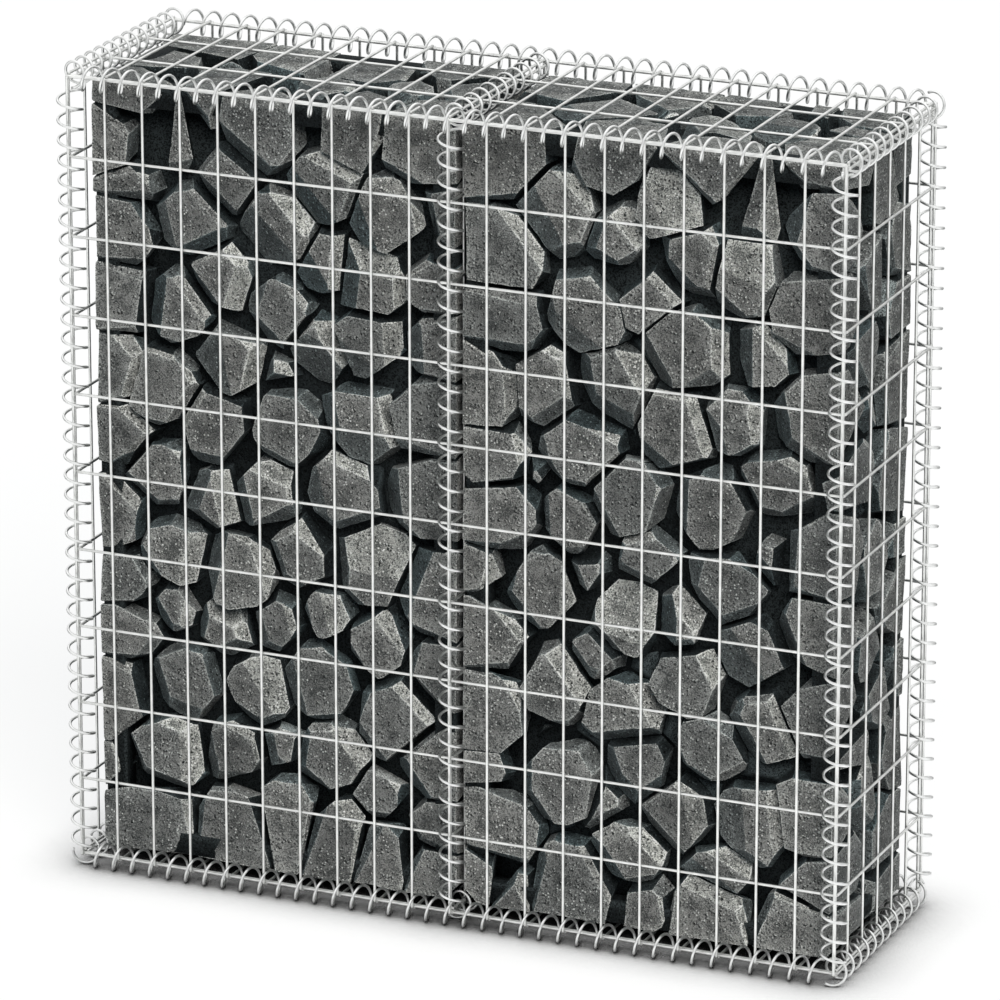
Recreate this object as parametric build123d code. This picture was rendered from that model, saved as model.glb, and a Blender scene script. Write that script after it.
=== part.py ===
from build123d import *

import math
import os

# Two-bay welded-mesh gabion wall section, in millimetres.
# +X runs along the wall, +Y from the front panel to the back panel, +Z up.
# Origin: middle of the footprint, on the floor under the lowest spirals.

# ---- driving sizes ----
length = 1000.0         # front panel, first to last upright wire
height = 1000.0         # front panel, lowest to highest cross wire
depth = 300.0           # upright wires of the front panel to those of the back
cells_long = 20         # 50 mm cells along the wall
cells_high = 10         # 100 mm cells up the wall
cells_deep = 6          # cells across the wall, two to each cell of the lid

mesh_wire = 3.5         # welded mesh wire
weld_set = 0.4          # how far two crossing wires are pressed into each other
spiral_wire = 3.5       # binding spiral wire
spiral_radius = 15.0    # axis of a spiral to the middle of its wire
middle_x = 2.0          # upright spirals at the partition, towards its cross wires
turns_per_cell = 2      # spiral turns in one cell along or across the wall
turns_up_cell = 4       # spiral turns in one cell up the wall
fit_gap = 0.3           # clearance between pieces that bear on each other
stone_in_x = 15.0       # end faces of the stone fill inside the end panels
stone_in_y = 32.0       # front and back of the fill inside the big panels
stone_drop = 7.0        # top of the fill below the highest cross wire
spiral_room = 1.0       # least clearance between the fill and a spiral

# ---- sizes that follow ----
pitch_x = length / cells_long
pitch_z = height / cells_high
layer = mesh_wire - weld_set                # between the two layers of a panel
reach = mesh_wire / 2                       # wires end flush with the edge wire
end_x = length / 2
face_y = depth / 2
cross_y = face_y - layer                    # cross wires of the big panels
inner_y = cross_y - mesh_wire - fit_gap     # edge wires of all that stands between
pitch_y = depth / cells_deep
short_z = mesh_wire                         # end panels stop this far in, each end
lid_z = height - short_z + mesh_wire + fit_gap
lid_top_z = lid_z + layer                   # short wires of the lid, on top
base_z = height - lid_z
base_low_z = height - lid_top_z             # short wires of the base, underneath
coil_x = end_x - spiral_wire / 2            # spirals at the ends
coil_y = face_y - spiral_wire               # spirals along front and back
coil_out = spiral_radius + spiral_wire / 2
spiral_corner = spiral_wire / 2 / math.cos(math.radians(30))
mesh_corner = mesh_wire / 2 / math.cos(math.radians(22.5))
lift = mesh_corner + spiral_corner + fit_gap    # a spiral's wire off one it rests on
turn_x = pitch_x / turns_per_cell
turn_y = pitch_y / turns_per_cell
turn_z = pitch_z / turns_up_cell
half_turn = math.pi
quarter = math.pi / 2


# ---- welded mesh ----
def bar(direction, start, size):
    """An eight-sided mesh wire from a start point along one axis."""
    section = RegularPolygon(mesh_wire / 2, 8, major_radius=False, rotation=22.5)
    lie = {"x": Rot(0, 90, 0), "y": Rot(-90, 0, 0), "z": Rot(0, 0, 0)}[direction]
    return Pos(*start) * lie * extrude(section, size)


def welded(bars):
    """One panel: its wires fused where they cross."""
    return bars[0].fuse(*bars[1:])


def big_panel(side):
    """Front (-1) or back (+1) panel: upright wires outside, cross wires inside."""
    bars = []
    for i in range(cells_long + 1):
        x = -end_x + pitch_x * i
        bars.append(bar("z", (x, side * face_y, -reach), height + 2 * reach))
    for j in range(cells_high + 1):
        bars.append(bar("x", (-end_x - reach, side * cross_y, pitch_z * j), length + 2 * reach))
    return welded(bars)


def across_places():
    """Where wires stand across the wall: even steps, with the edge wires drawn in."""
    steps = [-face_y + pitch_y * k for k in range(cells_deep + 1)]
    return [min(max(y, -inner_y), inner_y) for y in steps]


def cross_panel(x):
    """End or middle panel across the wall, between the big panels, base and lid."""
    bars = []
    for y in across_places():
        bars.append(bar("z", (x - layer / 2, y, short_z - reach), height - 2 * (short_z - reach)))
    for j in range(cells_high + 1):
        z = min(max(pitch_z * j, short_z), height - short_z)
        bars.append(bar("y", (x + layer / 2, -inner_y - reach, z), 2 * (inner_y + reach)))
    return welded(bars)


def flat_panel(long_z, short_wire_z):
    """Lid or base: a few long wires, with the short wires on their outer side."""
    bars = []
    for y in across_places()[::2]:
        bars.append(bar("x", (-end_x - reach, y, long_z), length + 2 * reach))
    for i in range(cells_long + 1):
        start = (-end_x + pitch_x * i, -inner_y - reach, short_wire_z)
        bars.append(bar("y", start, 2 * (inner_y + reach)))
    return welded(bars)


# ---- binding spirals ----
# A spiral is (axis, centre, turn, start, stop, angle, at). The two coordinates of
# its centre, and the angle, go round in the order x, y, z, x: an "x" spiral has its
# centre in y and z. All are left-handed and pass the angle at the position "at".
AXES = {
    "x": ((0, 1, 0), (1, 0, 0)),
    "y": ((0, 0, 1), (0, 1, 0)),
    "z": ((1, 0, 0), (0, 0, 1)),
}
TURN_STEPS = 48


def side_angle(offset):
    """How far round the spiral a wire crosses it when it misses the axis."""
    return math.asin(offset / spiral_radius)


def coil_point(spiral, position):
    """Middle of the spiral's wire at a position along its axis, as x, y, z."""
    axis, centre, turn, start, stop, angle, at = spiral
    now = angle - 2 * math.pi * (position - at) / turn
    across = centre[0] + spiral_radius * math.cos(now)
    up = centre[1] + spiral_radius * math.sin(now)
    if axis == "x":
        return (position, across, up)
    if axis == "y":
        return (up, position, across)
    return (across, up, position)


def wire_gap(point, wire):
    """Distance from a point to a straight mesh wire's surface."""
    (x0, y0, z0), (x1, y1, z1) = wire
    along = (x1 - x0, y1 - y0, z1 - z0)
    from_start = (point[0] - x0, point[1] - y0, point[2] - z0)
    share = sum(a * b for a, b in zip(along, from_start)) / sum(a * a for a in along)
    share = min(max(share, 0), 1)
    foot = (x0 + share * along[0], y0 + share * along[1], z0 + share * along[2])
    return math.dist(point, foot) - mesh_corner


def end_wires():
    """Mesh wires that the ends of the spirals have to clear."""
    wires = []
    for side in (-1, 1):
        for z in (0, height):
            y = side * cross_y
            wires.append(((-end_x - reach, y, z), (end_x + reach, y, z)))
        for i in range(cells_long + 1):
            x = -end_x + pitch_x * i
            wires.append(((x, side * face_y, -reach), (x, side * face_y, height + reach)))
    for x in (-end_x, 0, end_x):
        for z in (short_z, height - short_z):
            wires.append(((x + layer / 2, -inner_y, z), (x + layer / 2, inner_y, z)))
        for side in (-1, 1):
            low = (x - layer / 2, side * inner_y, short_z - reach)
            wires.append((low, (low[0], low[1], height - short_z + reach)))
    for z in (base_z, lid_z):
        for side in (-1, 1):
            y = side * inner_y
            wires.append(((-end_x - reach, y, z), (end_x + reach, y, z)))
    for z in (base_low_z, lid_top_z):
        for i in range(cells_long + 1):
            x = -end_x + pitch_x * i
            wires.append(((x, -inner_y - reach, z), (x, inner_y + reach, z)))
    return wires


def ends_clear(spiral, points_near, wires):
    """Shorten a spiral at both ends until it clears the wires and spirals there."""
    axis, centre, turn, start, stop, angle, at = spiral
    room = 2 * spiral_corner + fit_gap
    zone = 2.6 * spiral_radius
    step = turn / TURN_STEPS
    found = []
    for end, way in ((start, 1), (stop, -1)):
        keep = end
        middle = coil_point(spiral, end)
        near = [p for p in points_near if math.dist(p, middle) < 2.5 * zone]
        for i in range(int(zone / step) + 1):
            position = end + way * i * step
            point = coil_point(spiral, position)
            close = any(math.dist(point, p) < room for p in near)
            hit = any(wire_gap(point, w) < spiral_corner + fit_gap / 3 for w in wires)
            if close or hit:
                keep = position + way * 2 * step
        found.append(keep)
    return (axis, centre, turn, found[0], found[1], angle, at)


def coil_points(spiral):
    """Points along the middle of a spiral's wire."""
    turn, start, stop = spiral[2], spiral[3], spiral[4]
    count = int((stop - start) / turn * TURN_STEPS) + 1
    return [coil_point(spiral, start + (stop - start) * i / count) for i in range(count + 1)]


def coil(spiral):
    """Solid of one spiral: a six-sided wire swept turn by turn."""
    axis, centre, turn, start, stop, angle, at = spiral
    turns = (stop - start) / turn
    edges = []
    for i in range(int(turns)):
        edges.append(Pos(0, 0, turn * i) * Helix(turn, turn, spiral_radius, lefthand=True))
    rest = turns - int(turns)
    if rest > 0.02:
        last = Helix(turn, turn * rest, spiral_radius, lefthand=True)
        edges.append(Pos(0, 0, turn * int(turns)) * last)
    path = Wire(edges)
    plane = Plane(origin=path @ 0, z_dir=path % 0, x_dir=(1, 0, 0))
    section = RegularPolygon(spiral_wire / 2, 6, major_radius=False, rotation=30)
    solid = sweep(plane * section, path=path, is_frenet=True)
    begin = math.degrees(angle - 2 * math.pi * (start - at) / turn)
    place = {
        "x": (start, centre[0], centre[1]),
        "y": (centre[1], start, centre[0]),
        "z": (centre[0], centre[1], start),
    }[axis]
    x_dir, z_dir = AXES[axis]
    frame = Plane(origin=place, x_dir=x_dir, z_dir=z_dir)
    return frame.location * Rot(0, 0, begin) * solid


def spiral_table():
    """Every binding spiral, in the order in which their ends give way."""
    big = side_angle(face_y - coil_y)           # uprights of the big panels
    cross = side_angle(coil_y - cross_y)        # cross wires of the big panels
    top = side_angle(lid_top_z - height)        # short wires of the lid
    left = side_angle(end_x + layer / 2 - coil_x)
    rest_left = side_angle(coil_x - end_x + layer / 2)
    y0, y1 = -face_y, face_y
    x0, x1 = -end_x, end_x
    return {
        "left_top_spiral": ("y", (height, -coil_x), turn_y, y0, y1, half_turn + left, lift),
        "right_top_spiral": ("y", (height, coil_x), turn_y, y0, y1, -quarter, lift),
        "left_base_spiral": ("y", (0, -coil_x), turn_y, y0, y1, -left, -lift),
        "right_base_spiral": ("y", (0, coil_x), turn_y, y0, y1, -quarter, -lift),
        "front_top_spiral": ("x", (-coil_y, height), turn_x, x0, x1, -quarter - big, -lift),
        "front_base_spiral": ("x", (-coil_y, 0), turn_x, x0, x1, quarter + big, lift),
        "back_top_spiral": ("x", (coil_y, height), turn_x, x0, x1, half_turn - top, -lift),
        "back_base_spiral": ("x", (coil_y, 0), turn_x, x0, x1, quarter - big, -lift),
        "middle_top_spiral": ("y", (height, 0), turn_y, y0, y1, -quarter, lift),
        "middle_base_spiral": ("y", (0, 0), turn_y, y0, y1, quarter, lift),
        "front_left_spiral": (
            "z", (-coil_x, -coil_y), turn_z, 0, height, quarter - rest_left, lift
        ),
        "front_right_spiral": (
            "z", (coil_x, -coil_y), turn_z, 0, height, half_turn - cross, lift
        ),
        "back_left_spiral": ("z", (-coil_x, coil_y), turn_z, 0, height, -cross, lift),
        "back_right_spiral": (
            "z", (coil_x, coil_y), turn_z, 0, height, left - quarter, lift
        ),
        "front_middle_spiral": (
            "z", (middle_x, -coil_y), turn_z, 0, height, half_turn - cross, lift
        ),
        "back_middle_spiral": ("z", (middle_x, coil_y), turn_z, 0, height, -cross, lift),
    }


def spirals():
    """Every spiral with its ends shortened so that none touches another."""
    wires = end_wires()
    placed = {}
    points = []
    for name, spiral in spiral_table().items():
        placed[name] = ends_clear(spiral, points, wires)
        points += coil_points(placed[name])
    return placed


# ---- stone fill ----
def spiral_bevel(across, up):
    """Chamfer that keeps an edge of the fill clear of the spiral beside it.

    across and up are the edge's distances from the spiral's axis, both measured
    towards the fill's outside.
    """
    return math.sqrt(2) * (coil_out + spiral_room) - across - up


def stone_block(side):
    """Room taken up by the stones of the left (-1) or right (+1) bay."""
    near = layer / 2 + mesh_wire / 2 + fit_gap
    far = end_x - stone_in_x
    bottom = base_z + reach + fit_gap
    top = height - stone_drop
    deep = depth - 2 * stone_in_y
    middle = (side * (near + far) / 2, 0, (bottom + top) / 2)
    block = Pos(*middle) * Box(far - near, deep, top - bottom)
    for x, across in ((near, near), (far, coil_x - far)):
        for z, up in ((bottom, bottom), (top, height - top)):
            edge = block.edges().filter_by(Axis.Y).sort_by_distance((side * x, 0, z))[0]
            block = chamfer(edge, spiral_bevel(across, up))
    return block


def write(name, shape):
    """Export one node, lifted so that the lowest spirals stand on the floor."""
    export_step(Pos(0, 0, coil_out) * shape, os.path.join("parts", name + ".step"))


def main():
    os.makedirs("parts", exist_ok=True)
    write("front_mesh", big_panel(-1))
    write("back_mesh", big_panel(1))
    write("left_end_mesh", cross_panel(-end_x))
    write("partition_mesh", cross_panel(0))
    write("right_end_mesh", cross_panel(end_x))
    write("lid_mesh", flat_panel(lid_z, lid_top_z))
    write("base_mesh", flat_panel(base_z, base_low_z))
    for name, spiral in spirals().items():
        write(name, coil(spiral))
    write("left_bay_stones", stone_block(-1))
    write("right_bay_stones", stone_block(1))


main()
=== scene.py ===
"""Looks for a two-bay gabion wall section: welded mesh, binding spirals and broken stone.

Laid out as an add-on and run as a script: the operators at the end build the pieces
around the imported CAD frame, which gives every position. Lengths inside the functions
are in millimetres until a mesh is made.
"""

import math
from functools import partial

import bpy
import numpy as np
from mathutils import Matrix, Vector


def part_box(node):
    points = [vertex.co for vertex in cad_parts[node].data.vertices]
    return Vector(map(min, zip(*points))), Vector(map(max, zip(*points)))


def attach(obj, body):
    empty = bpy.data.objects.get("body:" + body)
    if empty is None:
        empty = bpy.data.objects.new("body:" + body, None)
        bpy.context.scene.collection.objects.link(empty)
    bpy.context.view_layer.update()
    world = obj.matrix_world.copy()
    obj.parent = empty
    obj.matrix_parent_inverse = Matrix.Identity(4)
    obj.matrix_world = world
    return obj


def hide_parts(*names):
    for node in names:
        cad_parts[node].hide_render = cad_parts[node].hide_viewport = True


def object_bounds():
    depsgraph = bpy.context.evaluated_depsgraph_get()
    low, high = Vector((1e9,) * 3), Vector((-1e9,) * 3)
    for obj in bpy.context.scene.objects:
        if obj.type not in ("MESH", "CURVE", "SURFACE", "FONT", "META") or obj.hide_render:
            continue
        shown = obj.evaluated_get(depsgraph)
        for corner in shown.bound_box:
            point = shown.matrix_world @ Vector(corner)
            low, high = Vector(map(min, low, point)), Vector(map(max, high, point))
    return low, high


bl_info = {
    "name": "Gabion Wall Section",
    "version": (1, 0, 0),
    "blender": (4, 5, 0),
    "location": "3D View > Sidebar > Gabion",
    "description": "Builds the wires, spirals and stones of a gabion wall section",
    "category": "Object",
}

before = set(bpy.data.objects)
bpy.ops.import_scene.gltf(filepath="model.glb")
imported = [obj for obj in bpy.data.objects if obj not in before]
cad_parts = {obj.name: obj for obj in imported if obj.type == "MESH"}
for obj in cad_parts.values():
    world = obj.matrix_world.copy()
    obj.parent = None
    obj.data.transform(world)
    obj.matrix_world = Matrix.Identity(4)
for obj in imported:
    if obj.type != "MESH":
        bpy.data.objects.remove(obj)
CAD_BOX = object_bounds()
MM = 0.001
# BEHIND is the level way along which the floor's painted reflection darkens.
BEHIND = (-0.40, 0.92, 0.0)      # level, from the lit side of the wall to the other

BIG_PANELS = ("front_mesh", "back_mesh")
CROSS_PANELS = ("left_end_mesh", "partition_mesh", "right_end_mesh")
FLAT_PANELS = ("lid_mesh", "base_mesh")
SPIRALS = tuple(sorted(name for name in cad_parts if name.endswith("_spiral")))
BAYS = ("left_bay_stones", "right_bay_stones")
SEED_STEP = 100                  # from one bay's seed to the next one's


# ---- settings

class MeshSettings(bpy.types.PropertyGroup):
    """Welded mesh panels."""

    wire: bpy.props.FloatProperty(
        name="Wire", description="Diameter of the mesh wire in millimetres",
        default=3.5, min=2.0, max=6.0)
    weld: bpy.props.FloatProperty(
        name="Weld swell", description="How much thicker a wire is at a weld, as a share",
        default=0.09, min=0.0, max=0.3, subtype="FACTOR")
    cells_long: bpy.props.IntProperty(
        name="Cells along", description="Mesh cells along the wall", default=20, min=1)
    cells_high: bpy.props.IntProperty(
        name="Cells up", description="Mesh cells up the wall", default=10, min=1)
    cells_deep: bpy.props.IntProperty(
        name="Cells across", description="Mesh cells across the wall", default=6, min=2)
    colour: bpy.props.StringProperty(
        name="Zinc", description="Colour of the galvanised mesh wire", default="#f4f5f3")


class SpiralSettings(bpy.types.PropertyGroup):
    """Binding spirals."""

    wire: bpy.props.FloatProperty(
        name="Wire", description="Diameter of the spiral wire in millimetres",
        default=3.5, min=1.5, max=5.0)
    turns_per_cell: bpy.props.IntProperty(
        name="Turns per cell", description="Spiral turns in a 50 mm cell", default=2)
    colour: bpy.props.StringProperty(
        name="Zinc", description="Colour of the bright spiral wire", default="#f4f5f4")


class StoneSettings(bpy.types.PropertyGroup):
    """Stone fill."""

    size: bpy.props.FloatProperty(
        name="Stone", description="Usual width of a stone in millimetres", default=82.0)
    seed: bpy.props.IntProperty(
        name="Seed", description="Number that picks another fill of stones", default=11)
    colour: bpy.props.StringProperty(
        name="Stone light", description="Lighter colour of the stone's grain",
        default="#9a9a99")
    dark: bpy.props.StringProperty(
        name="Stone dark", description="Darker colour of the stone's grain", default="#434545")


class StageSettings(bpy.types.PropertyGroup):
    """Floor, light and camera."""

    floor: bpy.props.StringProperty(
        name="Floor", description="Colour of the studio floor", default="#ffffff")
    sky: bpy.props.FloatProperty(
        name="Sky", description="Strength of the even light", default=0.17)
    sun: bpy.props.FloatProperty(
        name="Key", description="Strength of the key light", default=3.0)


# ---- small helpers

def linear(code, alpha=1.0):
    """An sRGB hex colour as linear red, green, blue, alpha."""
    values = [int(code[i:i + 2], 16) / 255 for i in (1, 3, 5)]
    return [value / 12.92 if value <= 0.04045 else ((value + 0.055) / 1.055) ** 2.4
            for value in values] + [alpha]


def node_box(name):
    """Lowest and highest corner of a CAD node, in millimetres."""
    low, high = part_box(name)
    return np.array(low) / MM, np.array(high) / MM


def add_node(tree, kind, settings=None, **links):
    """Add one shader node, set its values and link its sockets.

    kind is the node's type without ShaderNode. A link is written socket=(node, output);
    socket names use _ for a space, and a number after in_ picks a socket by its place.
    """
    node = tree.nodes.new("ShaderNode" + kind)
    for key, value in (settings or {}).items():
        if hasattr(node, key):
            setattr(node, key, value)
        else:
            node.inputs[int(key) if key.isdigit() else key].default_value = value
    for key, (source, output) in links.items():
        place = int(key[3:]) if key.startswith("in_") else key.replace("_", " ")
        tree.links.new(source.outputs[output], node.inputs[place])
    return node


def node_adder(owner):
    """Empties the node tree of a material or world and gives add_node for that tree."""
    owner.use_nodes = True
    owner.node_tree.nodes.clear()
    return partial(add_node, owner.node_tree)


def linked(name, data):
    """A new object in the scene that holds the data."""
    item = bpy.data.objects.new(name, data)
    bpy.context.scene.collection.objects.link(item)
    return item


def make_piece(name, points, faces, material, replaces, values=None):
    """One finished piece from points in millimetres and faces as index rows.

    values gives attributes for the material, one number for each point or each face.
    """
    mesh = bpy.data.meshes.new(name)
    faces = np.asarray(faces, dtype=np.int32)
    mesh.vertices.add(len(points))
    mesh.vertices.foreach_set("co", (np.asarray(points) * MM).astype(np.float32).ravel())
    mesh.loops.add(faces.size)
    mesh.loops.foreach_set("vertex_index", faces.ravel())
    mesh.polygons.add(len(faces))
    starts = np.arange(len(faces), dtype=np.int32) * faces.shape[1]
    mesh.polygons.foreach_set("loop_start", starts)
    mesh.update(calc_edges=True)
    for key, column in (values or {}).items():
        domain = "FACE" if len(column) == len(faces) else "POINT"
        attribute = mesh.attributes.new(key, "FLOAT", domain)
        attribute.data.foreach_set("value", np.asarray(column, dtype=np.float32))
    mesh.validate()
    mesh.polygons.foreach_set("use_smooth", np.ones(len(mesh.polygons), dtype=bool))
    mesh.materials.append(material)
    piece = linked(name, mesh)
    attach(piece, "root")
    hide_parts(replaces)
    return piece


# ---- round wire

def tube(middle, out, side, radius, sides):
    """Round wire along a path.

    middle is the path's points, out and side two unit vectors square to it at each
    point, and radius its radius at each. A point of the surface is the path's point
    plus radius times (out cos a + side sin a), with a going once round. Both ends are
    closed by a fan round an added middle point.
    """
    count = len(middle)
    turn = np.linspace(0, 2 * np.pi, sides, endpoint=False)
    ring = out[:, None] * np.cos(turn)[:, None] + side[:, None] * np.sin(turn)[:, None]
    points = (middle[:, None] + ring * radius[:, None, None]).reshape(-1, 3)
    row = np.arange(count - 1)[:, None] * sides
    here = np.arange(sides)
    after = (here + 1) % sides
    a, b = row + here, row + after
    faces = np.concatenate([
        np.stack([a, b, b + sides], 2).reshape(-1, 3),
        np.stack([a, b + sides, a + sides], 2).reshape(-1, 3),
        np.stack([after, here, np.full(sides, count * sides)], 1),
        np.stack([here, after, np.full(sides, count * sides + 1)], 1)
        + [[(count - 1) * sides, (count - 1) * sides, 0]],
    ])
    points = np.concatenate([points, middle[:1], middle[-1:]])
    return points, faces


def joined(shapes):
    """Several (points, faces) as one."""
    points, faces, start = [], [], 0
    for shape_points, shape_faces in shapes:
        points.append(shape_points)
        faces.append(shape_faces + start)
        start += len(shape_points)
    return np.concatenate(points), np.concatenate(faces)


def straight_wire(axis, start, end, across, welds, wire, swell, sides=10):
    """A straight mesh wire along one axis, a little thicker at each weld.

    The path has three stations at each weld, one on it and one 3 mm each side, and
    the radius swells at the middle one.
    """
    near = 3.0
    stations = [start, end]
    swells = [0, 0]
    for place in welds:
        for shift, share in ((-near, 0), (0, 1), (near, 0)):
            if start < place + shift < end:
                stations.append(place + shift)
                swells.append(share)
    order = np.argsort(stations)
    along = np.array(stations)[order]
    radius = wire / 2 * (1 + swell * np.array(swells)[order])
    middle = np.zeros((len(along), 3))
    others = [i for i in range(3) if i != axis]
    middle[:, axis] = along
    middle[:, others[0]] = across[0]
    middle[:, others[1]] = across[1]
    out, side = np.zeros((2, len(along), 3))
    out[:, (axis + 1) % 3] = 1
    side[:, (axis + 2) % 3] = 1
    return tube(middle, out, side, radius, sides)


def layer_wires(box, axis, count_axis, level_axis, level, places, welds, settings):
    """Equal wires of one layer of a panel.

    They run along axis, one at each of places on count_axis, all at level on level_axis.
    """
    low, high = box
    shapes = []
    for place in places:
        across = {count_axis: place, level_axis: level}
        pair = [across[i] for i in range(3) if i != axis]
        shapes.append(straight_wire(
            axis, low[axis], high[axis], pair, welds, settings.wire, settings.weld))
    return shapes


def steps_across(settings):
    """Even steps from the uprights of the front panel to those of the back panel."""
    half = settings.wire / 2
    front, back = node_box("front_mesh")[0][1] + half, node_box("back_mesh")[1][1] - half
    return np.linspace(front, back, settings.cells_deep + 1)


def panel_wires(name, settings):
    """All wires of one panel, at the places that its CAD node gives."""
    low, high = box = node_box(name)
    half = settings.wire / 2
    xs = np.linspace(low[0] + half, high[0] - half, settings.cells_long + 1)
    ys = np.clip(steps_across(settings), low[1] + half, high[1] - half)
    zs = np.linspace(low[2] + half, high[2] - half, settings.cells_high + 1)
    if name in BIG_PANELS:
        outside, inside = low[1] + half, high[1] - half
        if name == "back_mesh":
            outside, inside = inside, outside
        return (layer_wires(box, 2, 0, 1, outside, xs, zs, settings)
                + layer_wires(box, 0, 2, 1, inside, zs, xs, settings))
    if name in CROSS_PANELS:
        big_low, big_high = node_box("front_mesh")
        full = np.linspace(big_low[2] + half, big_high[2] - half, settings.cells_high + 1)
        zs = np.clip(full, low[2] + half, high[2] - half)
        return (layer_wires(box, 2, 1, 0, low[0] + half, ys, zs, settings)
                + layer_wires(box, 1, 2, 0, high[0] - half, zs, ys, settings))
    under, over = low[2] + half, high[2] - half
    long_level, short_level = (under, over) if name == "lid_mesh" else (over, under)
    return (layer_wires(box, 0, 1, 2, long_level, ys[::2], xs, settings)
            + layer_wires(box, 1, 0, 2, short_level, xs, ys[::2], settings))


def spiral_wire(name, settings, steps=24, sides=8):
    """Round wire along a left-handed helix that follows its CAD node.

    With t along the axis, the path is (centre + R cos a, centre + R sin a, t), where
    a falls by a full turn for each pitch. The pitch comes from the mesh cells, and the
    starting angle is the mean of (angle + turns) over the CAD node's own points.
    """
    low, high = node_box(name)
    half = settings.wire / 2
    axis = int(np.argmax(high - low))
    u, v = (axis + 1) % 3, (axis + 2) % 3
    centre = (low + high) / 2
    middle_radius = (high[u] - low[u]) / 2 - half
    pitch = spiral_pitch(axis, settings)
    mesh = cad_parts[name].data
    cad = np.empty(len(mesh.vertices) * 3, dtype=np.float32)
    mesh.vertices.foreach_get("co", cad)
    cad = cad.reshape(-1, 3) / MM
    angle = np.arctan2(cad[:, v] - centre[v], cad[:, u] - centre[u])
    begin = np.angle(np.mean(np.exp(1j * (angle + 2 * np.pi * cad[:, axis] / pitch))))
    lean = math.atan2(pitch, 2 * np.pi * middle_radius)
    trim = half * math.cos(lean)
    start, end = low[axis] + trim, high[axis] - trim
    along = np.linspace(start, end, int((end - start) / pitch * steps) + 1)
    now = begin - 2 * np.pi * along / pitch
    middle, out, tangent = np.zeros((3, len(along), 3))
    middle[:, axis] = along
    middle[:, u] = centre[u] + middle_radius * np.cos(now)
    middle[:, v] = centre[v] + middle_radius * np.sin(now)
    out[:, u], out[:, v] = np.cos(now), np.sin(now)
    tangent[:, u] = np.sin(now) * math.cos(lean)
    tangent[:, v] = -np.cos(now) * math.cos(lean)
    tangent[:, axis] = math.sin(lean)
    side = np.cross(tangent, out)
    return tube(middle, out, side, np.full(len(along), half), sides)


def spiral_pitch(axis, settings):
    """Length of one spiral turn along an axis, from the mesh cells beside it."""
    mesh = bpy.context.scene.gabion_mesh
    if axis == 1:
        return np.ptp(steps_across(mesh)) / mesh.cells_deep / settings.turns_per_cell
    low, high = node_box("front_mesh")
    cell = (high[0] - low[0] - mesh.wire) / mesh.cells_long
    return cell / settings.turns_per_cell


# ---- stones

# Each side of the wall: outwards, and what is right and up for someone who faces it.
WALL_SIDES = np.array([
    [(0, -1, 0), (1, 0, 0), (0, 0, 1)],
    [(0, 1, 0), (-1, 0, 0), (0, 0, 1)],
    [(-1, 0, 0), (0, -1, 0), (0, 0, 1)],
    [(1, 0, 0), (0, 1, 0), (0, 0, 1)],
    [(0, 0, 1), (1, 0, 0), (0, 1, 0)],
    [(0, 0, -1), (1, 0, 0), (0, -1, 0)],
], dtype=float)
WALLS = len(WALL_SIDES)
NEIGHBOURS = 18

# Painted shades of the sides that lie deep, dark as shade: the packed blocks behind, the
# steep mouths of gaps and the sides between stones. A shown side's painted shade goes up
# to 1, palest, as if lit.
PACKED_SHADE = 0.0
MOUTH_SHADE = 0.03
JOINT_SHADE = 0.04


def unit(vectors):
    """Vectors scaled to length 1."""
    return vectors / np.linalg.norm(vectors, axis=-1, keepdims=True)


def value_noise(points, scale, seed):
    """Smooth noise from -1 to 1: random values on a cubic lattice, eased between.

    Large odd numbers mix a lattice place and the seed into the key of its value.
    """
    place = points / scale + 1000.0
    cell = np.floor(place).astype(np.int64)
    part = place - cell
    ease = part * part * (3 - 2 * part)
    total = np.zeros(len(points))
    for dx in (0, 1):
        for dy in (0, 1):
            for dz in (0, 1):
                key = (cell[:, 0] + dx) * 73856093 ^ (cell[:, 1] + dy) * 19349663
                key = key ^ (cell[:, 2] + dz) * 83492791 ^ seed * 2654435761
                key = (key ^ (key >> 13)) * 1274126177 & 0x7FFFFFFF
                weight = np.ones(len(points))
                for axis, step in ((0, dx), (1, dy), (2, dz)):
                    weight *= ease[:, axis] if step else 1 - ease[:, axis]
                total += weight * (key % 65536 / 32768.0 - 1)
    return total


def relaxed_places(random, low, high, count, rounds=8):
    """Stone middles spread through a box, and a size bonus for each.

    Random places move to the middle of the room nearest to them a few times, which
    evens them out but leaves them irregular. A bonus, in square millimetres, is taken
    off the squared distance to its place, so that it gets more room.
    """
    sample_count, bonus_range = 26000, 300.0
    places = random.uniform(low, high, (count, 3))
    samples = random.uniform(low, high, (sample_count, 3))
    bonus = random.uniform(-1, 1, count) * bonus_range
    for _ in range(rounds):
        far = ((samples ** 2).sum(1)[:, None] - 2 * samples @ places.T
               + (places ** 2).sum(1) - bonus)
        nearest = far.argmin(1)
        held = np.maximum(np.bincount(nearest, minlength=count), 1)
        places = np.stack([
            np.bincount(nearest, samples[:, i], minlength=count) / held for i in range(3)], 1)
    return places, bonus


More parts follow.
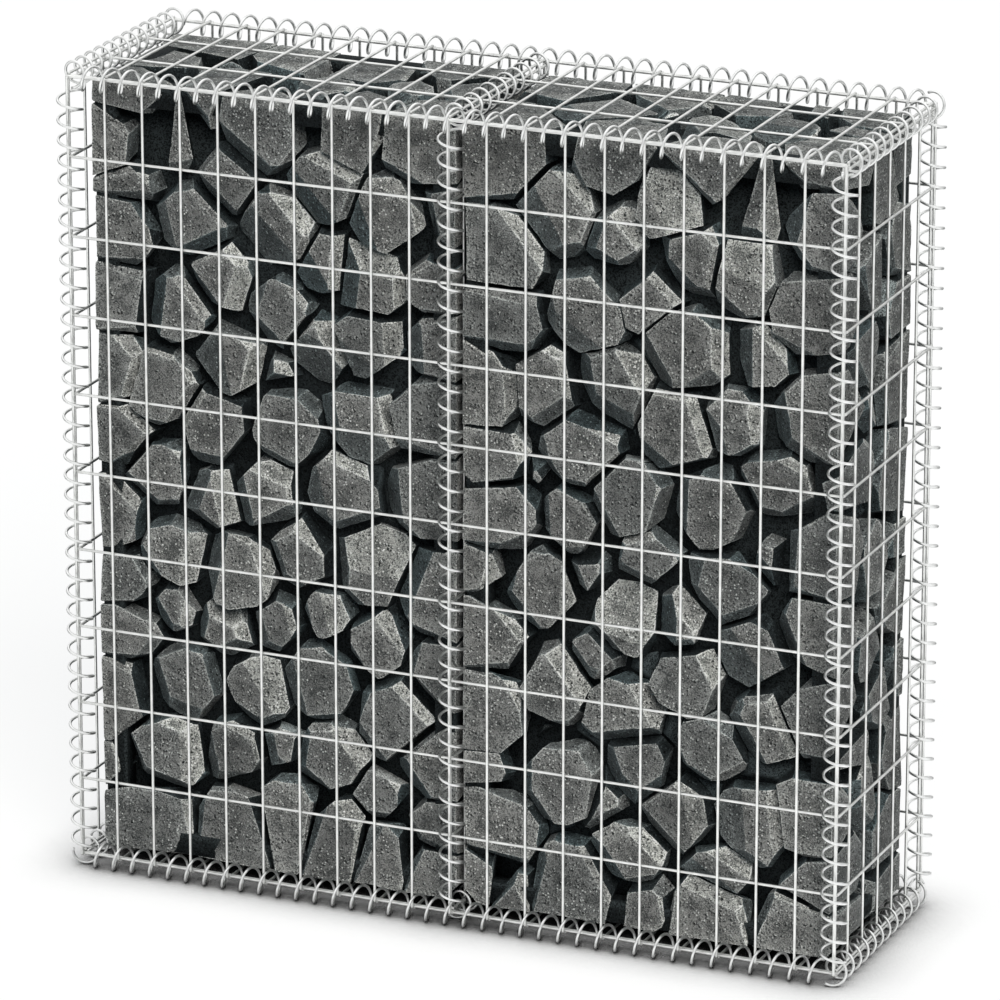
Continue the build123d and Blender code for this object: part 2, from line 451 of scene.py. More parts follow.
def corner_points(planes):
    """Corners of the room inside a set of planes, and the three planes at each.

    Three planes meet where (c1 n2 x n3 + c2 n3 x n1 + c3 n1 x n2) / (n1 . n2 x n3),
    with n their normals and c their offsets; a corner is such a point that is inside
    all the other planes.
    """
    parallel, slack = 1e-3, 1e-6
    normals, offsets = planes[:, :3], planes[:, 3]
    count = len(planes)
    pairs = np.array(np.triu_indices(count, 1)).T
    trio = np.concatenate([
        np.repeat(pairs, count, 0), np.tile(np.arange(count), len(pairs))[:, None]], 1)
    trio = trio[trio[:, 2] > trio[:, 1]]
    one, two, three = (normals[trio[:, i]] for i in range(3))
    two_three = np.cross(two, three)
    size = (one * two_three).sum(1)
    good = np.abs(size) > parallel
    reach = offsets[trio]
    points = (reach[:, :1] * two_three + reach[:, 1:2] * np.cross(three, one)
              + reach[:, 2:] * np.cross(one, two))[good] / size[good, None]
    inside = (points @ normals.T <= offsets + slack).all(1)
    return points[inside], trio[good][inside]


def plane(normal, point, shade):
    """One plane through a point as a row: its normal, its offset and its shade."""
    return [*normal, normal @ point, shade]


def first_planes(index, places, bonus, low, high, coils, random):
    """Planes of one stone, round its own middle, before anything is broken off.

    They are the six walls of the bay, one plane towards each near neighbour, set back
    for the gap between the stones, and a sloping one before each spiral that runs
    across the wall.
    """
    here = places[index]
    away = places - here
    far = (away ** 2).sum(1)
    near = np.argsort(far)[1:1 + NEIGHBOURS]
    distance = np.sqrt(far[near])
    gap = random.uniform(0.4, 1.4, len(near))
    walls = WALL_SIDES[:, 0]
    rooms = np.where(walls.sum(1) > 0, walls @ high, walls @ low) - walls @ here
    slopes, reach = coils
    normals = np.concatenate([walls, away[near] / distance[:, None], slopes])
    offsets = np.concatenate([
        rooms, (far[near] + bonus[index] - bonus[near]) / (2 * distance) - gap,
        reach - slopes @ here])
    # Every plane starts with the dark painted shade of the sides between stones.
    return np.column_stack([normals, offsets, np.full(len(normals), JOINT_SHADE)])


def falling(face, out, ends, insets, lean, shade):
    """Plane through two points of a side that falls away outwards by an angle, lean.

    The points lie inside the two ends of an edge by the insets. With f the face's
    normal and o the way out, the plane holds the direction o cos lean - f sin lean.
    """
    first, last = ends - insets[:, None] * out
    lean = math.radians(lean)
    normal = unit(np.cross(last - first, out * math.cos(lean) - face * math.sin(lean)))
    return plane(normal * np.sign(normal @ (face + out)), first, shade)


def strip(random, turn):
    """Width, slope and painted shade of the broken strip along one edge of a shown side.

    turn is the way the edge faces on the wall, in degrees anticlockwise from the
    right. The stones are bedded with wide breaks to the left and below, painted dark as
    shade, wide ones on the right, painted pale as if lit, and narrow ones elsewhere.
    """
    for middle, spread, share, width, slope, shade in (
        (205, 50, 0.94, (13, 28), (26, 46), (0.13, 0.26)),
        (278, 32, 0.82, (9, 23), (28, 50), (0.14, 0.34)),
        (28, 48, 0.80, (9, 24), (28, 50), (0.60, 1.0)),
    ):
        if abs((turn - middle + 180) % 360 - 180) < spread and random.random() < share:
            return random.uniform(*width), random.uniform(*slope), random.uniform(*shade)
    if random.random() < 0.35:
        return random.uniform(6, 15), random.uniform(24, 45), random.uniform(0.35, 0.7)
    return random.uniform(1.5, 6), random.uniform(40, 60), random.uniform(0.3, 0.7)


def edge_breaks(random, wall, alone, face, border, ends, at_rim):
    """The two planes by one edge of a shown side: its broken strip and its gap's mouth.

    at_rim says of each end of the edge whether the gap runs out there, at an edge of
    the fill, where both planes narrow to almost nothing.
    """
    rim_strip, rim_mouth, widest_share, narrowed = 2.0, 0.5, 0.36, 0.7
    outwards, right, up = WALL_SIDES[wall]
    broad = abs(outwards[1]) > 0.5
    out = unit(np.cross(ends[1] - ends[0], face))
    out = out * np.sign(out @ (ends[0] - border.mean(0)))
    width, slope, shade = strip(random, math.degrees(math.atan2(out @ up, out @ right)) % 360)
    width = min(width, widest_share * np.ptp(border @ out))
    width *= 1.0 if alone or broad else narrowed
    mouth = random.uniform(0.8, 6.5) if broad else random.uniform(1.5, 8.0)
    steep = random.uniform(74, 84)
    # The steep plane of the gap's mouth gets a near-black painted shade.
    return [
        falling(face, out, ends, np.where(at_rim, min(width, rim_strip), width), slope, shade),
        falling(face, out, ends, np.where(at_rim, rim_mouth, mouth), steep, MOUTH_SHADE)]


def corner_cut(random, broad, face, middle, corner, room):
    """A plane that takes one corner off a shown side, or none.

    It faces from the side's middle to the corner, tilted a little, and lies back from
    the corner by the cut. room is how far the fill goes on beyond the corner.
    """
    whole_share, least_room, reach_share, room_share = 0.28, 20, 0.4, 0.5
    if random.random() < whole_share or room < least_room:
        return []
    reach = corner - middle
    out = unit(reach - face * (face @ reach))
    cut = random.uniform(8, 21) if broad else random.uniform(12, 30)
    cut = min(cut, reach_share * np.linalg.norm(reach), room_share * room)
    tilt = random.uniform(-0.1, 0.35)
    # The cut face gets a random dark painted shade.
    return [plane(unit(out + face * tilt), corner - out * cut, random.uniform(0.03, 0.4))]


def split_plane(random, wall, face, border):
    """A plane that leans away from near the middle of a shown side, so that it has two faces.

    turn is the way it leans, anticlockwise from the right; its normal is
    face cos lean + out sin lean, and its painted shade is paler the more it looks up and
    right, as if lit.
    """
    _, right, up = WALL_SIDES[wall]
    turn = math.radians(random.choice([20, 60, 100, 200, 250]) + random.uniform(-25, 25))
    out = right * math.cos(turn) + up * math.sin(turn)
    lean = math.radians(random.uniform(11, 22))
    crease = border.mean(0) + out * random.uniform(-0.1, 0.22) * np.ptp(border @ out)
    shade = 0.5 + 0.3 * (math.cos(turn - math.radians(40)) + random.uniform(-0.3, 0.3))
    return plane(unit(face * math.cos(lean) + out * math.sin(lean)), crease,
                 min(max(shade, 0.1), 0.9))


def break_side(wall, alone, planes, random):
    """Turn one shown side of a stone a little and break its edges and corners off.

    Each edge has a sloping strip, and a steep plane by the same edge opens the mouth
    of the gap to the next stone, wider at the ends and on top. Where the gap runs out
    at an edge of the fill, both are narrow, so that the wall's outline is straight.
    """
    shortest_edge, rim, split_share = 3, 14, 0.4
    outwards = WALL_SIDES[wall, 0]
    broad = abs(outwards[1]) > 0.5
    corners, trio = corner_points(planes)
    on_wall = corners[(trio == wall).any(1)]
    if len(on_wall) < 3:
        return planes
    wobble = 0.05 if broad and alone else 0.018
    face = unit(outwards + random.normal(0, wobble, 3))
    nearest = on_wall[np.argmin(on_wall @ face)]
    planes = np.concatenate([planes, [plane(face, nearest, random.uniform(0.42, 0.56))]])
    main = len(planes) - 1
    corners, trio = corner_points(planes)
    mine = (trio == main).any(1)
    if mine.sum() < 3:
        return planes
    border = corners[mine]
    others = [side for side in range(WALLS) if side != wall]
    extra = []
    for other in range(WALLS, WALLS + NEIGHBOURS):
        ends = corners[mine & (trio == other).any(1)][:2]
        if len(ends) < 2 or np.linalg.norm(ends[1] - ends[0]) < shortest_edge:
            continue
        at_rim = (planes[others, 3] - ends @ planes[others, :3].T).min(1) < rim
        extra += edge_breaks(random, wall, alone, face, border, ends, at_rim)
    free = ((trio >= WALLS) & (trio < WALLS + NEIGHBOURS)) | (trio == main)
    for corner in corners[mine & free.all(1)]:
        room = (planes[others, 3] - planes[others, :3] @ corner).min()
        extra += corner_cut(random, broad, face, border.mean(0), corner, room)
    if alone and random.random() < split_share:
        extra.append(split_plane(random, wall, face, border))
    return np.concatenate([planes, extra]) if extra else planes


def outline(face_corners, names, bends, spacing):
    """Points round one flat side, and how sharp the edge is at each.

    An edge is divided alike from both of its sides. bends gives each edge's sharpness,
    from the corner of the same number to the next one.
    """
    pieces, sharp = [], []
    for i in range(len(names)):
        j = (i + 1) % len(names)
        first, last = (i, j) if names[i] < names[j] else (j, i)
        start, end = face_corners[first], face_corners[last]
        count = max(1, int(np.linalg.norm(end - start) / spacing))
        share = np.arange(count + 1)[:, None] / count
        line = start + (end - start) * share
        pieces.append(line[:-1] if first == i else line[:0:-1])
        sharp.append(np.full(count, bends[i]))
        sharp[-1][0] = max(bends[i], bends[i - 1])
    return np.concatenate(pieces), np.concatenate(sharp)


def side_grid(border, sharp, rings):
    """A flat side as rings from its border to its middle.

    A point is middle + share (border - middle); the shares of the outer rings keep
    them a set distance inside the border, and the last ring is the middle itself.
    Returns the points, their triangles and how near each is to a sharp border.
    """
    least_share, fade = 0.35, 2.0
    count = len(border)
    middle = border.mean(0)
    span = np.linalg.norm(border - middle, axis=1)[:, None]
    rows, nearness = [border], [sharp]
    for distance, fraction in rings:
        share = np.maximum(1 - distance / span, least_share) * fraction
        rows.append(middle + share * (border - middle))
        nearness.append(sharp * (math.exp(-distance / fade) if fraction == 1 else 0.0))
    here = np.arange(count)
    after = (here + 1) % count
    faces = []
    for row in range(len(rings)):
        a, b = row * count + here, row * count + after
        faces += [np.stack([a, b, b + count], 1), np.stack([a, b + count, a + count], 1)]
    last = len(rings) * count
    faces.append(np.stack([last + here, last + after, np.full(count, last + count)], 1))
    rows.append(middle[None])
    nearness.append(np.zeros(1))
    return np.concatenate(rows), np.concatenate(faces), np.concatenate(nearness)


def edge_bend(index, start, end, normals):
    """How sharp an edge is, from 0 when its two sides bend under 15 degrees to 1 at 40.

    start and end are the three planes at each of its ends; they share plane index and
    the one across the edge.
    """
    blunt, sharp = 15, 40
    across = (set(start) & set(end)) - {index}
    if not across:
        return 0.0
    bend = math.degrees(math.acos(np.clip(normals[index] @ normals[across.pop()], -1, 1)))
    return min(max((bend - blunt) / (sharp - blunt), 0.0), 1.0)


def stone_surface(planes, shown):
    """One stone's surface, round its own middle: all of its flat sides as grids.

    shown holds the ways that the stone is seen from. A side that isn't turned away from
    all of them has rings 0.4 and 2.2 mm inside its border and one half way in, or just
    the first if it is small. Returns points and triangles, how near each point is to a
    sharp edge, and the shade of each triangle's side.
    """
    askew = [0.31, 0.87, 0.39]
    spacing = 7.5 if len(shown) else 30.0
    edge_rings, small = [(0.4, 1), (2.2, 1), (2.2, 0.5)], 10
    corners, trio = corner_points(planes)
    normals = planes[:, :3]
    points, faces, near, shades, start = [], [], [], [], 0
    for index in range(len(planes)):
        names = np.nonzero((trio == index).any(1))[0]
        if len(names) < 3:
            continue
        normal = normals[index]
        flat = corners[names] - corners[names].mean(0)
        along = unit(np.cross(normal, askew))
        names = names[np.argsort(np.arctan2(flat @ np.cross(normal, along), flat @ along))]
        bends = [edge_bend(index, trio[names[i]], trio[names[i - len(names) + 1]], normals)
                 for i in range(len(names))]
        border, sharp = outline(corners[names], names, bends, spacing)
        width = np.linalg.norm(border - border.mean(0), axis=1).mean()
        rings = []
        if any(normal @ side > -0.1 for side in shown):
            rings = edge_rings if width > small else edge_rings[:1]
        side_points, side_faces, side_near = side_grid(border, sharp, rings)
        points.append(side_points)
        faces.append(side_faces + start)
        near.append(side_near)
        shades.append(np.full(len(side_faces), planes[index, 4]))
        start += len(side_points)
    points = np.concatenate(points)
    keep, back = np.unique(np.round(points, 6), axis=0, return_inverse=True)
    back = back.ravel()
    nearness = np.zeros(len(keep))
    np.maximum.at(nearness, back, np.concatenate(near))
    faces = back[np.concatenate(faces)]
    good = (faces != np.roll(faces, 1, 1)).all(1)
    return keep, faces[good], nearness, np.concatenate(shades)[good]


def weathered(points, nearness, planes, here, seed):
    """Round a stone's edges, chip them and roughen its sides.

    Each plane has the value (normal . point) / offset, which is 1 on it. Dividing a
    point by the soft maximum of these values rounds the edges. Waves 24 mm long, bumps
    of 9 mm and, at sharp edges, chips of 7 mm then move points along their direction
    from the middle.
    """
    sharpness, sunk = 330.0, 0.5
    values = points @ planes[:, :3].T / planes[:, 3]
    soft = np.log(np.exp(sharpness * (values - 1)).sum(1)) / sharpness + 1
    points = points / soft[:, None]
    place = points + here
    waves = 0.55 * value_noise(place, 24.0, seed)
    bumps = 0.35 * value_noise(place, 9.0, seed + 1)
    chips = np.maximum(value_noise(place, 7.0, seed + 2) - 0.15, 0) * nearness * 2.0
    return points + unit(points) * (waves + bumps - sunk - chips)[:, None]


def coil_slopes(low, high):
    """Sloping planes that keep the stones clear of the spirals that run across the wall.

    Such a spiral lies beside an edge of the fill that runs from front to back. Its
    plane leans 45 degrees, and its offset is the distance to the spiral's axis less the
    spiral's radius and 1 mm.
    """
    room = 1.0
    slopes, reach = [], []
    for name in SPIRALS:
        coil_low, coil_high = node_box(name)
        if np.argmax(coil_high - coil_low) != 1:
            continue
        centre = (coil_low + coil_high) / 2
        radius = (coil_high[2] - coil_low[2]) / 2
        slope = unit(np.sign(centre - (low + high) / 2) * [1, 0, 1])
        slopes.append(slope)
        reach.append(slope @ centre - radius - room)
    return np.array(slopes), np.array(reach)


def packed_core(low, high):
    """Blocks for the stones packed behind, painted nearly black as shade, where gaps look
    through.

    One block lies 30 mm inside the fill. Twelve more run along the fill's edges, from 4
    to 31 mm inside its sides, so that its outline has gaps painted dark and no holes. A block
    is the set of points p with normal . p under the offset of each of its planes: the
    fill's sides and its slopes beside the spirals, moved in, and for an edge two planes
    more, which face back.
    """
    block_depth, bar_front, bar_back, middle_tone = 30, 4, 31, 0.5
    middle = (low + high) / 2
    slopes, reach = coil_slopes(low, high)
    normals = np.concatenate([WALL_SIDES[:, 0], slopes])
    room = np.concatenate([np.abs(WALL_SIDES[:, 0]) @ ((high - low) / 2),
                           reach - slopes @ middle])
    blocks = [np.column_stack([normals, room - block_depth])]
    for one in range(WALLS):
        for two in range(one + 1, WALLS):
            if abs(normals[one] @ normals[two]) < 0.5:
                pair = [one, two]
                blocks.append(np.concatenate([
                    np.column_stack([normals, room - bar_front]),
                    np.column_stack([-normals[pair], bar_back - room[pair]])]))
    shapes = [stone_surface(np.column_stack([block, np.full(len(block), PACKED_SHADE)]), [])
              for block in blocks]
    points, faces = joined([shape[:2] for shape in shapes])
    near, shades = (np.concatenate([shape[place] for shape in shapes]) for place in (2, 3))
    return points + middle, faces, near, np.full(len(points), middle_tone), shades


def bay_stones(name, settings, seed):
    """All stones of one bay, from the lowest up, and the blocks behind them.

    Each is points, triangles, nearness to a sharp edge, tone and shade.
    """
    low, high = node_box(name)
    coils = coil_slopes(low, high)
    random = np.random.default_rng(seed)
    count = int(np.prod(high - low) / settings.size ** 3)
    places, bonus = relaxed_places(random, low, high, count)
    stones = []
    for index in np.argsort(places[:, 2]):
        planes = first_planes(index, places, bonus, low, high, coils, random)
        _, trio = corner_points(planes)
        sides = [wall for wall in range(WALLS) if (trio == wall).any()]
        for wall in sides:
            planes = break_side(wall, len(sides) == 1, planes, random)
        middle = corner_points(planes)[0].mean(0)
        here = places[index] + middle
        planes[:, 3] -= planes[:, :3] @ middle
        points, faces, near, shades = stone_surface(planes, WALL_SIDES[sides, 0])
        points = weathered(points, near, planes, here, seed)
        tone = np.full(len(points), random.random())
        stones.append((np.clip(points + here, low, high), faces, near, tone, shades))
    return stones + [packed_core(low, high)]


def stone_pieces(stones, name):
    """Stones shared out over an upper and a lower piece: name, shape and values."""
    half = len(stones) // 2
    for part, group in (("lower", stones[:half]), ("upper", stones[half:])):
        points, faces = joined([(stone[0], stone[1]) for stone in group])
        values = {key: np.concatenate([stone[place] for stone in group])
                  for place, key in ((2, "edge"), (3, "tone"), (4, "shade"))}
        yield name + "_" + part, points, faces, values


# ---- materials

def galvanised(name, colour, grain, low, high):
    """Hot-dip galvanised steel wire: satin zinc, a little cloudy, with fine unevenness.

    grain is the width of its clouds in millimetres. Its roughness goes from low to high
    as they get lighter.
    """
    material = bpy.data.materials.new(name)
    add = node_adder(material)
    place = add("TexCoord")
    cloud = add("TexNoise", {"Scale": 1 / (grain * MM), "Detail": 3.0},
                Vector=(place, "Object"))
    tint = add("ValToRGB", Fac=(cloud, "Fac"))
    for element, position, share in zip(tint.color_ramp.elements, (0.32, 0.66), (0.80, 1.0)):
        element.position = position
        element.color = [value * share for value in linear(colour)[:3]] + [1]
    rough = add("MapRange", {"To Min": low, "To Max": high}, Value=(cloud, "Fac"))
    fine = add("TexNoise", {"Scale": 1 / (0.8 * MM), "Detail": 2.0}, Vector=(place, "Object"))
    bump = add("Bump", {"Strength": 0.12, "Distance": 0.2 * MM}, Height=(fine, "Fac"))
    shader = add("BsdfPrincipled", {"Metallic": 1.0}, Base_Color=(tint, "Color"),
                 Roughness=(rough, "Result"), Normal=(bump, "Normal"))
    add("OutputMaterial", Surface=(shader, "BSDF"))
    return material


def pitted_cells(add, spot, cloud, shift, start, end):
    """Mask of small ragged spots, one in some of the cells of a pattern 4.4 mm wide.

    shift, in millimetres, moves the spots the other way; start and end are how far from
    a cell's middle a spot fades out. More cells hold one where the clouds are light.
    """
    wander = add("TexNoise", {"Scale": 1 / (2.2 * MM), "Detail": 0.0}, Vector=(spot, "Vector"))
    ragged = add("VectorMath", {"operation": "MULTIPLY_ADD", "1": (3.4 * MM,) * 3},
                 in_0=(wander, "Color"), in_2=(spot, "Vector"))
    moved = add("VectorMath", {"operation": "ADD", "1": [step * MM for step in shift]},
                in_0=(ragged, "Vector"))
    cells = add("TexVoronoi", {"Scale": 1 / (4.4 * MM)}, Vector=(moved, "Vector"))
    pick = add("SeparateColor", Color=(cells, "Color"))
    limit = add("MapRange",
                {"From Min": 0.36, "From Max": 0.64, "To Min": 0.91, "To Max": 0.34},
                Value=(cloud, "Fac"))
    some = add("Math", {"operation": "GREATER_THAN"}, in_0=(pick, "Red"),
               in_1=(limit, "Result"))
    inside = add("MapRange",
                 {"From Min": start, "From Max": end, "To Min": 1.0, "To Max": 0.0},
                 Value=(cells, "Distance"))
    return add("Math", {"operation": "MULTIPLY"}, in_0=(some, "Value"),
               in_1=(inside, "Result"))


def broken_basalt(settings):
    """Broken basalt: matt, dark grey and grainy, with open pits, pale grains and edges; shade
    and highlights painted.
    """
    pit_shade_colour, crystal_and_highlight_colour, brightest = "#121515", "#eeefed", 0.85
    material = bpy.data.materials.new("broken_basalt")
    add = node_adder(material)
    place = add("TexCoord")
    tone, near, shade = (
        add("Attribute", {"attribute_name": key}) for key in ("tone", "edge", "shade"))
    shift = add("VectorMath", {"operation": "SCALE", "3": 3.0}, in_0=(tone, "Vector"))
    spot = add("VectorMath", {"operation": "ADD"}, in_0=(place, "Object"),
               in_1=(shift, "Vector"))

    # Mineral grain, drawn 1.7 mm wide so that it shows; the real one is under 1 mm.
    grain = add("TexNoise", {"Scale": 1 / (1.7 * MM), "Detail": 1.0, "Roughness": 0.6},
                Vector=(spot, "Vector"))
    cloud = add("TexNoise", {"Scale": 1 / (19 * MM), "Detail": 2.0}, Vector=(spot, "Vector"))
    blend = add("Math", {"operation": "MULTIPLY_ADD", "1": 0.6}, in_0=(cloud, "Fac"),
                in_2=(grain, "Fac"))
    base = add("ValToRGB", Fac=(blend, "Value"))
    for element, position, code in zip(base.color_ramp.elements, (0.64, 0.98),
                                       (settings.dark, settings.colour)):
        element.position = position
        element.color = linear(code)

    # Open pits up to 3 mm wide, in drifts, with their dark painted as shade, and a painted
    # highlight beside each, to its upper right, as on a lit rim; some pale crystals stand
    # alone.
    pit = pitted_cells(add, spot, cloud, (0, 0, 0), 0.24, 0.46)
    pale = pitted_cells(add, spot, cloud, (-1.2, 0, -1.2), 0.17, 0.36)
    crumbs = add("TexVoronoi", {"Scale": 1 / (3.1 * MM)}, Vector=(spot, "Vector"))
    crumb = add("SeparateColor", Color=(crumbs, "Color"))
    few = add("Math", {"operation": "GREATER_THAN", "1": 0.90}, in_0=(crumb, "Green"))
    small = add("MapRange", {"From Min": 0.22, "From Max": 0.45, "To Min": 1.0, "To Max": 0.0},
                Value=(crumbs, "Distance"))
    speck = add("Math", {"operation": "MULTIPLY"}, in_0=(few, "Value"), in_1=(small, "Result"))
    wear = add("Math", {"operation": "POWER", "1": 1.3}, in_0=(near, "Fac"))
    worn = add("MapRange", {"From Min": 0.38, "From Max": 0.54}, Value=(grain, "Fac"))
    edge = add("Math", {"operation": "MULTIPLY"}, in_0=(wear, "Value"), in_1=(worn, "Result"))
    light = pale
    for mask in (speck, edge):
        light = add("Math", {"operation": "MAXIMUM"}, in_0=(light, "Value"),
                    in_1=(mask, "Value"))
    # Pits painted near-black as shade; pale crystals, worn edges and the painted highlights by
    # the pits share one pale colour.
    pit_shaded = add("Mix", {"data_type": "RGBA", "7": linear(pit_shade_colour)}, in_0=(pit, "Value"),
                 in_6=(base, "Color"))
    crystals_and_highlights = add("Mix", {"data_type": "RGBA", "7": linear(crystal_and_highlight_colour)},
                in_0=(light, "Value"), in_6=(pit_shaded, "Result"))

    # Gains by painted shade: the blocks behind are painted nearly black and the sides between
    # stones dark, as shade; breaks facing left and down dark and a little blue, as shade, and
    # those facing up and right pale, as if lit. The stones differ.
    shade_gain = add("ValToRGB", Fac=(shade, "Fac"))
    shade_gain.color_ramp.elements[0].color = (0.05, 0.06, 0.065, 1)
    shade_gain.color_ramp.elements[1].color = (2.15, 2.16, 2.10, 1)
    for position, gains in ((JOINT_SHADE, (0.09, 0.11, 0.12, 1)),
                            (0.12, (0.27, 0.35, 0.38, 1)), (0.5, (1, 1, 1, 1))):
        shade_gain.color_ramp.elements.new(position).color = gains
    shaded = add("VectorMath", {"operation": "MULTIPLY"}, in_0=(crystals_and_highlights, "Result"),
               in_1=(shade_gain, "Color"))
    gain = add("MapRange", {"To Min": 0.90, "To Max": 1.11}, Value=(tone, "Fac"))
    toned = add("VectorMath", {"operation": "SCALE"}, in_0=(shaded, "Vector"),
                in_3=(gain, "Result"))
    final = add("VectorMath", {"operation": "MINIMUM", "1": (brightest,) * 3},
                in_0=(toned, "Vector"))

    depth = add("Math", {"operation": "MULTIPLY_ADD", "1": -1.5}, in_0=(pit, "Value"),
                in_2=(grain, "Fac"))
    bump = add("Bump", {"Strength": 1.0, "Distance": 1.3 * MM}, Height=(depth, "Value"))
    # What is painted dark as lying deep has little gloss, so that the painted shade stays
    # dark.
    gloss = add("MapRange", {"From Max": 0.12, "To Min": 0.14, "To Max": 0.4},
                Value=(shade, "Fac"))
    shader = add("BsdfPrincipled", {"Roughness": 0.78}, Base_Color=(final, "Vector"),
                 Specular_IOR_Level=(gloss, "Result"), Normal=(bump, "Normal"))
    add("OutputMaterial", Surface=(shader, "BSDF"))
    return material


def studio_floor(settings):
    """Plain white floor with a painted soft contact shadow, that throws little light back up.

    In the metal its glow is painted brighter before the wall and darker behind it, a
    painted reflection that darkens the edges of the wires.
    """
    material = bpy.data.materials.new("studio_floor")
    add = node_adder(material)
    light = add("LightPath")
    seen = add("Math", {"operation": "MAXIMUM"}, in_0=(light, "Is Camera Ray"),
               in_1=(light, "Is Glossy Ray"))
    seen = add("Math", {"operation": "MAXIMUM"}, in_0=(seen, "Value"),
               in_1=(light, "Is Transmission Ray"))
    # The contact shadow is painted: ambient occlusion sets the glow and darkens the lit part's
    # colour.
    near = add("AmbientOcclusion", {"samples": 6, "Distance": 0.11})
    contact = add("MapRange",
                  {"From Min": 0.33, "From Max": 1.0, "To Min": 0.0, "To Max": 0.865},
                  Value=(near, "AO"))
    tone = add("MapRange",
               {"From Min": 0.35, "From Max": 0.75, "To Min": 0.01, "To Max": 0.19},
               Value=(near, "AO"))
    place = add("TexCoord")
    # Painted reflection: for glossy rays the glow is brighter before the wall and darker
    # behind it.
    behind = add("VectorMath", {"operation": "DOT_PRODUCT", "1": BEHIND},
                 in_0=(place, "Object"))
    painted_reflection_gain = add("MapRange",
                   {"From Min": -0.3, "From Max": 0.6, "To Min": 0.32, "To Max": -0.75},
                   Value=(behind, "Value"))
    gain = add("Math", {"operation": "MULTIPLY_ADD", "2": 1.0}, in_0=(light, "Is Glossy Ray"),
               in_1=(painted_reflection_gain, "Result"))
    strength = add("Math", {"operation": "MULTIPLY"}, in_0=(contact, "Result"),
                   in_1=(gain, "Value"))
    glow = add("Emission", {"Color": linear(settings.floor)}, Strength=(strength, "Value"))
    lit = add("BsdfDiffuse", Color=(tone, "Result"))
    shown = add("AddShader", in_0=(glow, "Emission"), in_1=(lit, "BSDF"))
    dull = add("BsdfDiffuse", {"Color": linear("#6a6a6a")})
    both = add("MixShader", Fac=(seen, "Value"), in_1=(dull, "BSDF"), in_2=(shown, "Shader"))
    add("OutputMaterial", Surface=(both, "Shader"))
    return material


# ---- stage

def build_floor(settings):
    """A wide flat floor at the height of the lowest turns."""
    reach = 30.0
    mesh = bpy.data.meshes.new("floor")
    level = CAD_BOX[0][2]
    corners = [(-reach, -reach, level), (reach, -reach, level),
               (reach, reach, level), (-reach, reach, level)]
    mesh.from_pydata(corners, [], [(0, 1, 2, 3)])
    mesh.materials.append(studio_floor(settings))
    linked("floor", mesh)


def build_world(settings):
    """Even pale light. Seen directly it is white.

    In the metal it is grey low down and bright above.
    """
    world = bpy.data.worlds.new("studio")
    bpy.context.scene.world = world
    add = node_adder(world)
    light = add("LightPath")
    place = add("TexCoord")
    split = add("SeparateXYZ", Vector=(place, "Generated"))
    height = add("MapRange",
                 {"From Min": -0.1, "From Max": 0.75, "To Min": 0.42, "To Max": 1.25},
                 Value=(split, "Z"))
    lamp = add("Background", {"Color": linear("#cef1ff"), "Strength": settings.sky})
    shiny = add("Background", {"Color": linear("#ffffff")}, Strength=(height, "Result"))
    seen = add("Background", {"Color": linear("#ffffff")})
    mirror = add("MixShader", Fac=(light, "Is Glossy Ray"), in_1=(lamp, "Background"),
                 in_2=(shiny, "Background"))
    final = add("MixShader", Fac=(light, "Is Camera Ray"), in_1=(mirror, "Shader"),
                in_2=(seen, "Background"))
    add("OutputWorld", Surface=(final, "Shader"))


def build_key(settings):
    """One wide soft key light from above, on the right and in front."""
    spread, from_above, to_right = 38, 46, 38
    lamp = bpy.data.lights.new("key", "SUN")
    lamp.energy = settings.sun
    lamp.angle = math.radians(spread)
    lamp.color = linear("#fffcf6")[:3]
    key = linked("key", lamp)
    key.rotation_euler = (math.radians(from_above), 0, math.radians(to_right))
    key.visible_glossy = False


def build_camera():
    """A long lens from the right of the front, a little above."""
    stand = (3.2400, -7.4817, 3.2344)
    look_down, to_right = 18.533, 23.402
    lens = bpy.data.cameras.new("camera")
    lens.sensor_width = 36.0
    lens.lens = 254.6
    lens.clip_end = 100
    camera = linked("camera", lens)
    camera.location = stand
    camera.rotation_euler = (math.radians(90 - look_down), 0, math.radians(to_right))
    bpy.context.scene.camera = camera


# ---- operators

class GABION_OT_mesh_panels(bpy.types.Operator):
    """Round welded wires for the big panels, the cross panels, the lid and the base"""

    bl_idname = "gabion.mesh_panels"
    bl_label = "Mesh panels"

    def execute(self, context):
        settings = context.scene.gabion_mesh
        zinc = galvanised("hot_dip_galvanised_mesh_wire", settings.colour, 14, 0.36, 0.52)
        for name in BIG_PANELS + CROSS_PANELS + FLAT_PANELS:
            points, faces = joined(panel_wires(name, settings))
            make_piece(name + "_wires", points, faces, zinc, name)
        return {"FINISHED"}


class GABION_OT_spirals(bpy.types.Operator):
    """Round wire for every binding spiral"""

    bl_idname = "gabion.spirals"
    bl_label = "Binding spirals"

    def execute(self, context):
        settings = context.scene.gabion_spiral
        zinc = galvanised("bright_galvanised_spiral_wire", settings.colour, 9, 0.26, 0.40)
        for name in SPIRALS:
            points, faces = spiral_wire(name, settings)
            make_piece(name + "_wire", points, faces, zinc, name)
        return {"FINISHED"}


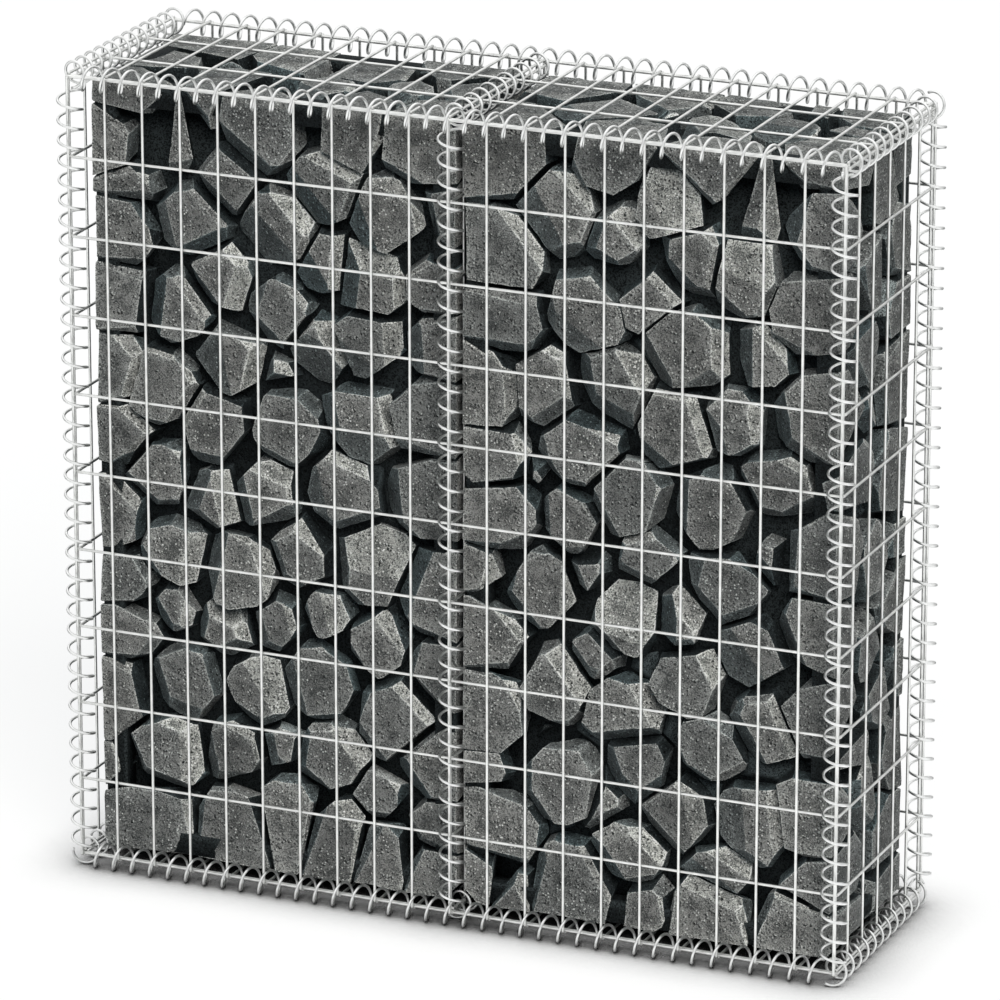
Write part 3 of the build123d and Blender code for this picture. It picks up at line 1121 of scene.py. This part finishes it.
class GABION_OT_stones(bpy.types.Operator):
    """Broken stones packed into both bays"""

    bl_idname = "gabion.stones"
    bl_label = "Stone fill"

    def execute(self, context):
        settings = context.scene.gabion_stone
        basalt = broken_basalt(settings)
        for number, bay in enumerate(BAYS):
            stones = bay_stones(bay, settings, settings.seed + SEED_STEP * number)
            for name, points, faces, values in stone_pieces(stones, bay):
                make_piece(name, points, faces, basalt, bay, values)
        return {"FINISHED"}


class GABION_OT_stage(bpy.types.Operator):
    """Floor, light and camera"""

    bl_idname = "gabion.stage"
    bl_label = "Stage"

    def execute(self, context):
        settings = context.scene.gabion_stage
        build_floor(settings)
        build_world(settings)
        build_key(settings)
        build_camera()
        context.scene.view_settings.view_transform = "Standard"
        return {"FINISHED"}


class GABION_PT_panel(bpy.types.Panel):
    """Lists the operators in the 3D view's sidebar."""

    bl_idname = "GABION_PT_panel"
    bl_label = "Gabion wall section"
    bl_space_type = "VIEW_3D"
    bl_region_type = "UI"
    bl_category = "Gabion"

    def draw(self, context):
        for name, (group, operator) in STEPS.items():
            box = self.layout.box()
            box.operator(operator.bl_idname)
            for key in group.__annotations__:
                box.prop(getattr(context.scene, name), key)


STEPS = {
    "gabion_mesh": (MeshSettings, GABION_OT_mesh_panels),
    "gabion_spiral": (SpiralSettings, GABION_OT_spirals),
    "gabion_stone": (StoneSettings, GABION_OT_stones),
    "gabion_stage": (StageSettings, GABION_OT_stage),
}
CLASSES = [item for pair in STEPS.values() for item in pair] + [GABION_PT_panel]


def register():
    for item in CLASSES:
        bpy.utils.register_class(item)
    for name, (group, _) in STEPS.items():
        setattr(bpy.types.Scene, name, bpy.props.PointerProperty(type=group))


def unregister():
    for name in STEPS:
        delattr(bpy.types.Scene, name)
    for item in reversed(CLASSES):
        bpy.utils.unregister_class(item)


def main():
    register()
    bpy.ops.gabion.mesh_panels()
    bpy.ops.gabion.spirals()
    bpy.ops.gabion.stones()
    bpy.ops.gabion.stage()
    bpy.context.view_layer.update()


if __name__ == "__main__":
    main()
